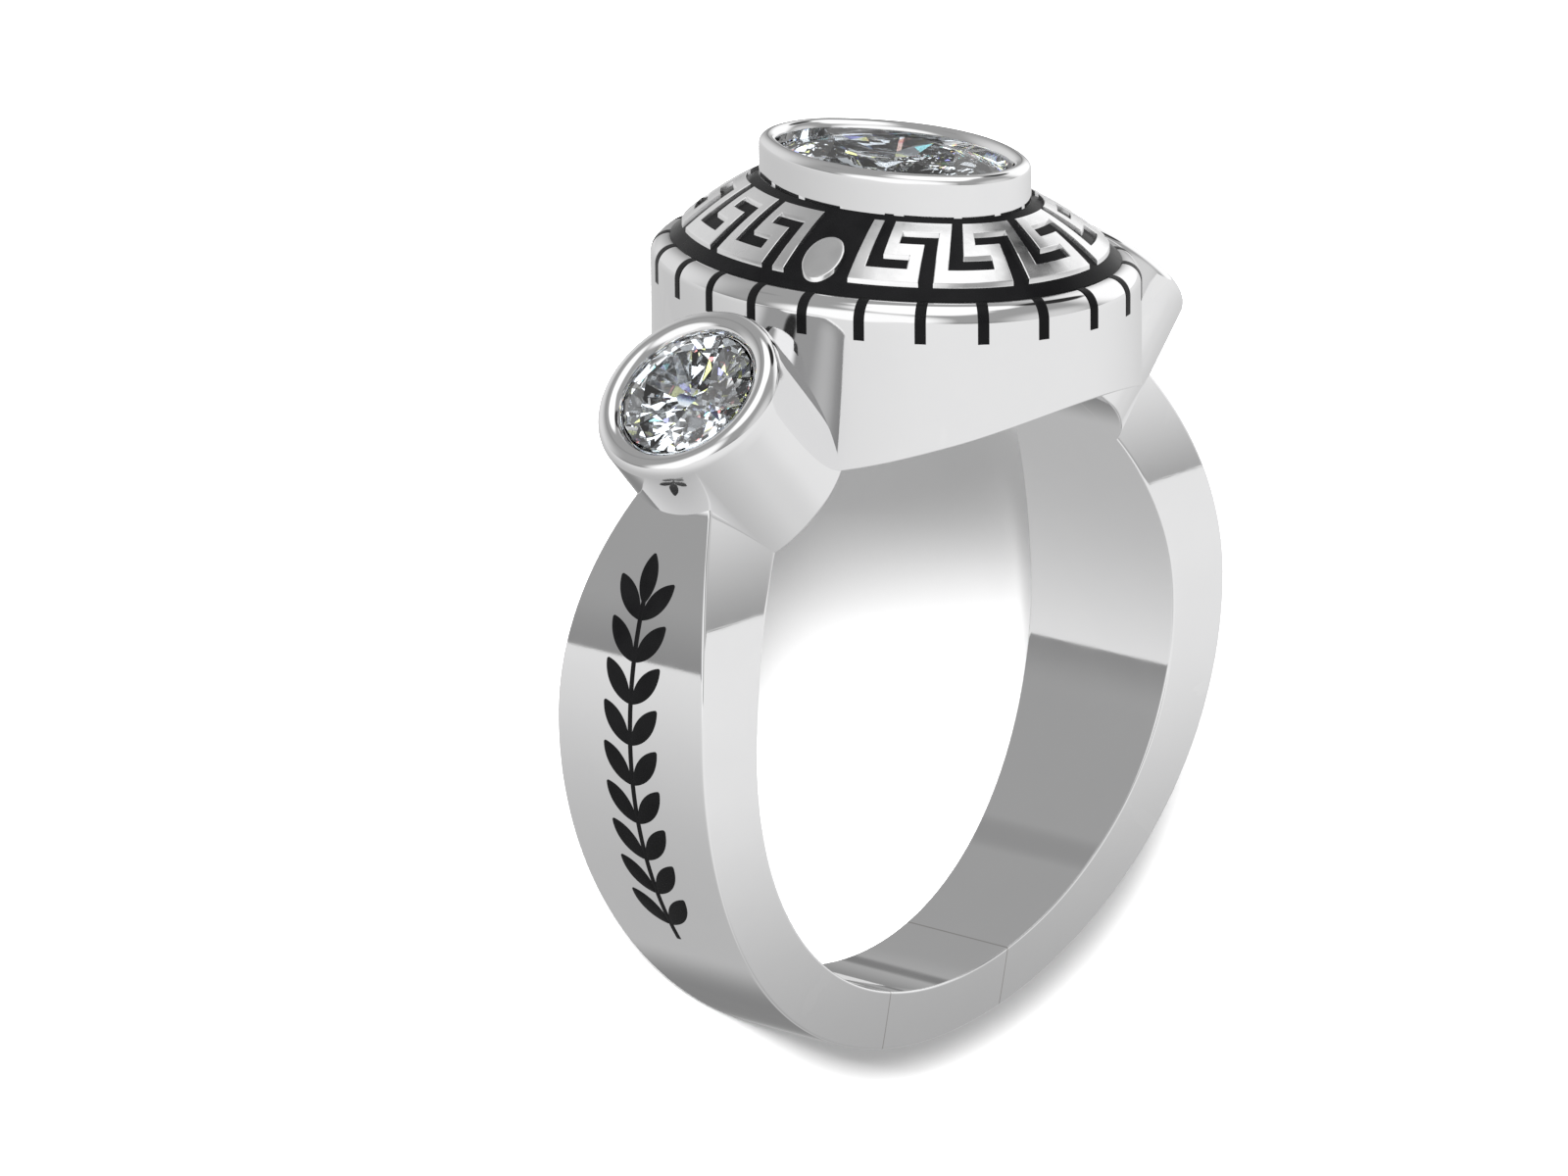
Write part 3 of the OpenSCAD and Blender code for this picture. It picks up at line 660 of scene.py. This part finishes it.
def silver(name, roughness, seams=False):
    """Silver with a haze of fine polishing marks, edges rubbed brighter, and a breath of
    tarnish in the hollows. With seams, the foot has two soldered hairlines."""
    made, nodes, links, shader = material(name)
    shader.inputs["Metallic"].default_value = 1.0
    haze = noise(nodes, links, scale=900, detail=3)
    marks = noise(nodes, links, scale=1500, detail=1, stretch=(1, 22, 30))
    pointed = nodes.new("ShaderNodeNewGeometry").outputs["Pointiness"]
    wear = ranged(nodes, links, pointed, 0.5, 0.56, 0.0, 1.0)
    hollow = ranged(nodes, links, pointed, 0.42, 0.48, 1.0, 0.0)
    bright = combined(nodes, links, "ADD", haze, wear)
    metal, rubbed, tarnish = (0.885, 0.885, 0.89, 1), (0.912, 0.912, 0.915, 1), (0.62, 0.61, 0.6, 1)
    tint = mixed(nodes, links, bright, metal, rubbed)
    dark = combined(nodes, links, "MULTIPLY", hollow, 0.5)
    height = combined(nodes, links, "ADD", haze, combined(nodes, links, "MULTIPLY", marks, 0.35))
    if seams:
        line = seam_lines(nodes, links)
        dark = combined(nodes, links, "MAXIMUM", dark, line)
        cut = combined(nodes, links, "MULTIPLY", line, 6.0)
        height = combined(nodes, links, "SUBTRACT", height, cut)
    colour = mixed(nodes, links, dark, tint, tarnish)
    links.new(colour, shader.inputs["Base Color"])
    rough = ranged(nodes, links, haze, 0.35, 0.75, roughness, 2.2 * roughness)
    smoothed = combined(nodes, links, "MULTIPLY", wear, 0.3 * roughness)
    rough = combined(nodes, links, "SUBTRACT", rough, smoothed)
    links.new(rough, shader.inputs["Roughness"])
    bumped(nodes, links, shader, height, strength=0.1, distance=0.000004)
    return made


def black_enamel():
    """Resin enamel: near black, glossy with a soft sheen, a few specks and a faint ripple."""
    made, nodes, links, shader = material("black enamel")
    cloud = noise(nodes, links, scale=1400, detail=3)
    tint = mixed(nodes, links, cloud, (0.001, 0.001, 0.0011, 1), (0.0028, 0.0028, 0.003, 1))
    links.new(tint, shader.inputs["Base Color"])
    links.new(ranged(nodes, links, cloud, 0.3, 0.7, 0.2, 0.34), shader.inputs["Roughness"])
    shader.inputs["Specular IOR Level"].default_value = 0.07
    bumped(nodes, links, shader, cloud, strength=0.12, distance=0.00001)
    return made


def clear_stone():
    """Clear zirconia, a breath cooler in places, with a trace of wear in its polish."""
    made, nodes, links, shader = material("clear stone")
    cloud = noise(nodes, links, scale=500, detail=2)
    tint = mixed(nodes, links, cloud, (0.95, 0.975, 1, 1), (0.985, 0.995, 1, 1))
    links.new(tint, shader.inputs["Base Color"])
    links.new(ranged(nodes, links, cloud, 0.55, 0.75, 0.0, 0.006), shader.inputs["Roughness"])
    shader.inputs["IOR"].default_value = 2.16
    shader.inputs["Transmission Weight"].default_value = 1.0
    return made


def pale_floor():
    """A pale matt sheet, slightly mottled."""
    made, nodes, links, shader = material("pale floor")
    mottle = noise(nodes, links, scale=60, detail=3)
    tint = mixed(nodes, links, mottle, (0.85, 0.85, 0.85, 1), (0.87, 0.87, 0.87, 1))
    links.new(tint, shader.inputs["Base Color"])
    links.new(ranged(nodes, links, mottle, 0.3, 0.7, 0.85, 0.95), shader.inputs["Roughness"])
    shader.inputs["Specular IOR Level"].default_value = 0.2
    bumped(nodes, links, shader, mottle, strength=0.1, distance=0.0001)
    return made


polished = silver("polished silver", roughness=0.03)
shank_silver = silver("polished silver with seams", roughness=0.03, seams=True)
satin = silver("satin silver", roughness=0.16)
enamel, crystal = black_enamel(), clear_stone()

piece("shank", shank_shell(), shank_silver, "ring_body")
piece("head", head_shell(), polished, "ring_body")
piece("setting_left", setting_shell(-1), polished, "ring_body")
piece("setting_right", setting_shell(1), polished, "ring_body")
piece("key_relief", relief_shell(), satin, "ring_body")
piece("slope_and_notch_enamel", enamel_shell(), enamel, "head_enamel")
piece("laurel_left", laurel_shell(-1), enamel, "laurel_enamel_left")
piece("laurel_right", laurel_shell(1), enamel, "laurel_enamel_right")

points, faces = brilliant(STONE_W / 2, STONE_L / 2, CROWN_H, PAVILION * STONE_W)
stone("oval_brilliant", points + [0, 0, GIRDLE_Z], faces, crystal, "oval_stone")
side_pavilion = PAVILION * 2 * SIDE_STONE_R
points, faces = brilliant(SIDE_STONE_R, SIDE_STONE_R, SIDE_CROWN_H, side_pavilion)
for side, word in ((-1, "left"), (1, "right")):
    up = points + [0, 0, SIDE_GIRDLE]
    tilted = np.stack([
        up[:, 0] * math.cos(TILT) + side * up[:, 2] * math.sin(TILT),
        up[:, 1],
        -side * up[:, 0] * math.sin(TILT) + up[:, 2] * math.cos(TILT),
    ], -1)
    stone(f"round_brilliant_{word}", tilted, faces, crystal, f"side_stone_{word}")

# Floor, lights and the surroundings that the metal mirrors

floor_mesh = bpy.data.meshes.new("floor")
floor_mesh.from_pydata([(-3, -3, 0), (3, -3, 0), (3, 3, 0), (-3, 3, 0)], [], [(0, 1, 2, 3)])
floor = bpy.data.objects.new("floor", floor_mesh)
bpy.context.scene.collection.objects.link(floor)
floor_mesh.materials.append(pale_floor())
floor.visible_glossy = False
floor.visible_transmission = False

world = bpy.data.worlds.new("studio")
bpy.context.scene.world = world
world.use_nodes = True
nodes, links = world.node_tree.nodes, world.node_tree.links
background = nodes["Background"]
direction = nodes.new("ShaderNodeTexCoord")


def dot_with(ring_direction):
    """How far a direction of the surroundings points along a direction of the ring's frame."""
    way = turned(np.asarray(ring_direction, float) / np.linalg.norm(ring_direction))
    node = nodes.new("ShaderNodeVectorMath")
    node.operation = "DOT_PRODUCT"
    links.new(direction.outputs["Generated"], node.inputs[0])
    node.inputs[1].default_value = way
    return node.outputs["Value"]


def blended(low, high, value, start, end):
    """Goes smoothly from one brightness to another as a value passes from start to end."""
    step = nodes.new("ShaderNodeMapRange")
    step.interpolation_type = "SMOOTHSTEP"
    links.new(value, step.inputs["Value"])
    step.inputs["From Min"].default_value = start
    step.inputs["From Max"].default_value = end
    mix = nodes.new("ShaderNodeMix")
    links.new(step.outputs["Result"], mix.inputs["Factor"])
    for socket, brightness in ((mix.inputs[2], low), (mix.inputs[3], high)):
        if isinstance(brightness, (int, float)):
            socket.default_value = brightness
        else:
            links.new(brightness, socket)
    return mix.outputs[0]


def cap(under, brightness, around, above, inner, outer):
    """A round softbox or flag over the surroundings so far: full within one angle and gone
    past another. Its direction is in the ring's frame, as degrees around from X towards Y and
    above the plane of the two, and all the angles are in degrees."""
    around, above, inner, outer = np.radians([around, above, inner, outer])
    flat_way = math.cos(above) * np.array([math.cos(around), math.sin(around), 0])
    value = dot_with(flat_way + [0, 0, math.sin(above)])
    return blended(under, brightness, value, math.cos(outer), math.cos(inner))


# Softboxes and flags, each with its brightness, its direction around and above, the angle
# within which it is full and the one past which it is gone. On the head's side of the ring they
# are softboxes at the four sides and over the head, and then flags, the last two of which the
# tables of the stones mirror. On the foot's side they darken a pale sweep, with a softbox at
# the left.
HEAD_SIDE = (
    (0.76, 85, 8, 0, 43),
    (0.7, -80, 5, 0, 40),
    (1.1, -5, 20, 20, 46),
    (1.1, 180, 12.5, 22, 38),
    (1.15, -165, 68, 14, 26),
    (1.15, 68, 87, 16, 22),
    (0.03, -11, 58, 9, 14),
    (0.22, 41, 16.5, 1, 4),
    (0.3, 108, 48.5, 1, 6),
)
FOOT_SIDE = (
    (0.5, 80, -65, 5, 95),
    (0.4, -33, -45, 0, 27),
    (0.24, 52, -38, 0, 24),
    (1.1, 180, 6, 10, 18),
)
upper, lower = blended(0.28, 0.36, dot_with((0, 0, 1)), 0.0, 0.25), 0.86
for patch in HEAD_SIDE:
    upper = cap(upper, *patch)
for patch in FOOT_SIDE:
    lower = cap(lower, *patch)
mirrored = blended(lower, upper, dot_with((0, 0, 1)), -0.004, 0.004)


# The patches that show through the stones: their scale and place, the greys that start at each
# share of them, and how far each colour is moved aside and strengthened
PATCH_SCALE, PATCH_PLACE = 1.8, (7.7, 0.4, 4.9)
PATCH_GREYS = (0.28, 0.03), (0.42, 0.12), (0.56, 0.26), (0.68, 0.5), (0.78, 1.2)
COLOUR_SHIFTS = ("Red", -0.012, 0.88), ("Green", 0.0, 0.97), ("Blue", 0.02, 1.06)


def sparkle(shift):
    """Patches of light and dark all round, each of one grey, moved aside a little for one of
    the colours."""
    moved = nodes.new("ShaderNodeVectorMath")
    links.new(direction.outputs["Generated"], moved.inputs[0])
    x, y, z = PATCH_PLACE
    moved.inputs[1].default_value = (x + shift, y + shift, z - shift)
    cells = nodes.new("ShaderNodeTexVoronoi")
    cells.inputs["Scale"].default_value = PATCH_SCALE
    links.new(moved.outputs["Vector"], cells.inputs["Vector"])
    tone = nodes.new("ShaderNodeSeparateColor")
    links.new(cells.outputs["Color"], tone.inputs["Color"])
    greys = nodes.new("ShaderNodeValToRGB")
    greys.color_ramp.interpolation = "CONSTANT"
    first, last = greys.color_ramp.elements
    first.position, first.color = 0.0, (0.0, 0.0, 0.0, 1)
    last.position, last.color = 0.88, (2.0, 2.0, 2.0, 1)
    for position, grey in PATCH_GREYS:
        greys.color_ramp.elements.new(position).color = (grey, grey, grey, 1)
    links.new(tone.outputs["Red"], greys.inputs["Fac"])
    return greys.outputs["Color"]


# What is seen through the stones, cool and split into colours a little
fire = nodes.new("ShaderNodeCombineColor")
for colour, shift, gain in COLOUR_SHIFTS:
    tinted = nodes.new("ShaderNodeMath")
    tinted.operation = "MULTIPLY"
    links.new(sparkle(shift), tinted.inputs[0])
    tinted.inputs[1].default_value = gain
    links.new(tinted.outputs["Value"], fire.inputs[colour])
tones = nodes.new("ShaderNodeHueSaturation")
tones.inputs["Saturation"].default_value = 0.6
links.new(fire.outputs["Color"], tones.inputs["Color"])
path = nodes.new("ShaderNodeLightPath")


def seen_by(rays, surroundings, others):
    """One kind of ray sees surroundings of its own, and the rest see the others."""
    choice = nodes.new("ShaderNodeMix")
    choice.data_type = "RGBA"
    links.new(path.outputs[rays], choice.inputs[0])
    links.new(others, choice.inputs[6])
    if isinstance(surroundings, tuple):
        choice.inputs[7].default_value = surroundings
    else:
        links.new(surroundings, choice.inputs[7])
    return choice.outputs[2]


shown = seen_by("Is Transmission Ray", tones.outputs["Color"], mirrored)
shown = seen_by("Is Diffuse Ray", (0.5, 0.5, 0.5, 1), shown)
shown = seen_by("Is Camera Ray", (1, 1, 1, 1), shown)
links.new(shown, background.inputs["Color"])
background.inputs["Strength"].default_value = 1.0


def pose(right, up, back, at):
    """The matrix of an object from its three axes and its place."""
    rows = [[*row, place] for row, place in zip(np.stack([right, up, back], 1), at)]
    return Matrix(rows + [[0, 0, 0, 1]])


# Camera: the photograph's direction in the ring's frame, with its long lens

turn, rise, roll = math.radians(49), math.radians(16.5), math.radians(-0.5)
flat = np.array([-math.sin(turn), -math.cos(turn), 0])
toward = math.cos(rise) * flat + [0, 0, math.sin(rise)]
right = np.array([math.cos(turn), -math.sin(turn), 0])
up = -math.sin(rise) * flat + [0, 0, math.cos(rise)]
right, up = (
    math.cos(roll) * right + math.sin(roll) * up,
    -math.sin(roll) * right + math.cos(roll) * up,
)
pixels_per_mm, focal_pixels, frame_pixels, sensor_mm = 38.69, 12000, (1600, 1200), 36
ring_pixel = 915.6, 676.2
distance = focal_pixels / pixels_per_mm
aim_right = (ring_pixel[0] - frame_pixels[0] / 2) / pixels_per_mm
aim_up = (ring_pixel[1] - frame_pixels[1] / 2) / pixels_per_mm
aim = -aim_right * right + aim_up * up
camera_place = placed(aim + distance * toward)
# Enough bounces for light to find its way out of the stones
bpy.context.scene.cycles.glossy_bounces = 8
bpy.context.scene.cycles.transmission_bounces = 12
bpy.context.scene.cycles.max_bounces = 12
camera_data = bpy.data.cameras.new("camera")
camera_data.sensor_width = sensor_mm
camera_data.lens = focal_pixels * sensor_mm / frame_pixels[0]
camera_data.clip_start = 0.01
camera = bpy.data.objects.new("camera", camera_data)
bpy.context.scene.collection.objects.link(camera)
view_right, view_up, view_toward = turned(right), turned(up), turned(toward)
camera.matrix_world = pose(view_right, view_up, view_toward, camera_place)
bpy.context.scene.camera = camera
bpy.context.scene.view_settings.view_transform = "Standard"


def panel(name, at, aim, size, power):
    """A soft square light at a place, facing another, that no mirror or stone shows."""
    light = bpy.data.lights.new(name, "AREA")
    light.shape, light.size, light.energy = "SQUARE", size, power
    obj = bpy.data.objects.new(name, light)
    bpy.context.scene.collection.objects.link(obj)
    at, aim = np.array(at, float), np.array(aim, float)
    back = (at - aim) / np.linalg.norm(at - aim)
    right = np.cross([0, 0, 1], back)
    right /= np.linalg.norm(right)
    up = np.cross(back, right)
    obj.matrix_world = pose(right, up, back, at)
    obj.visible_glossy = obj.visible_transmission = False
    return obj


from_camera = view_toward - 0.1 * view_right + 0.38 * view_up
panel("key light", 0.6 * from_camera, aim=(0, 0, 0), size=0.34, power=24)
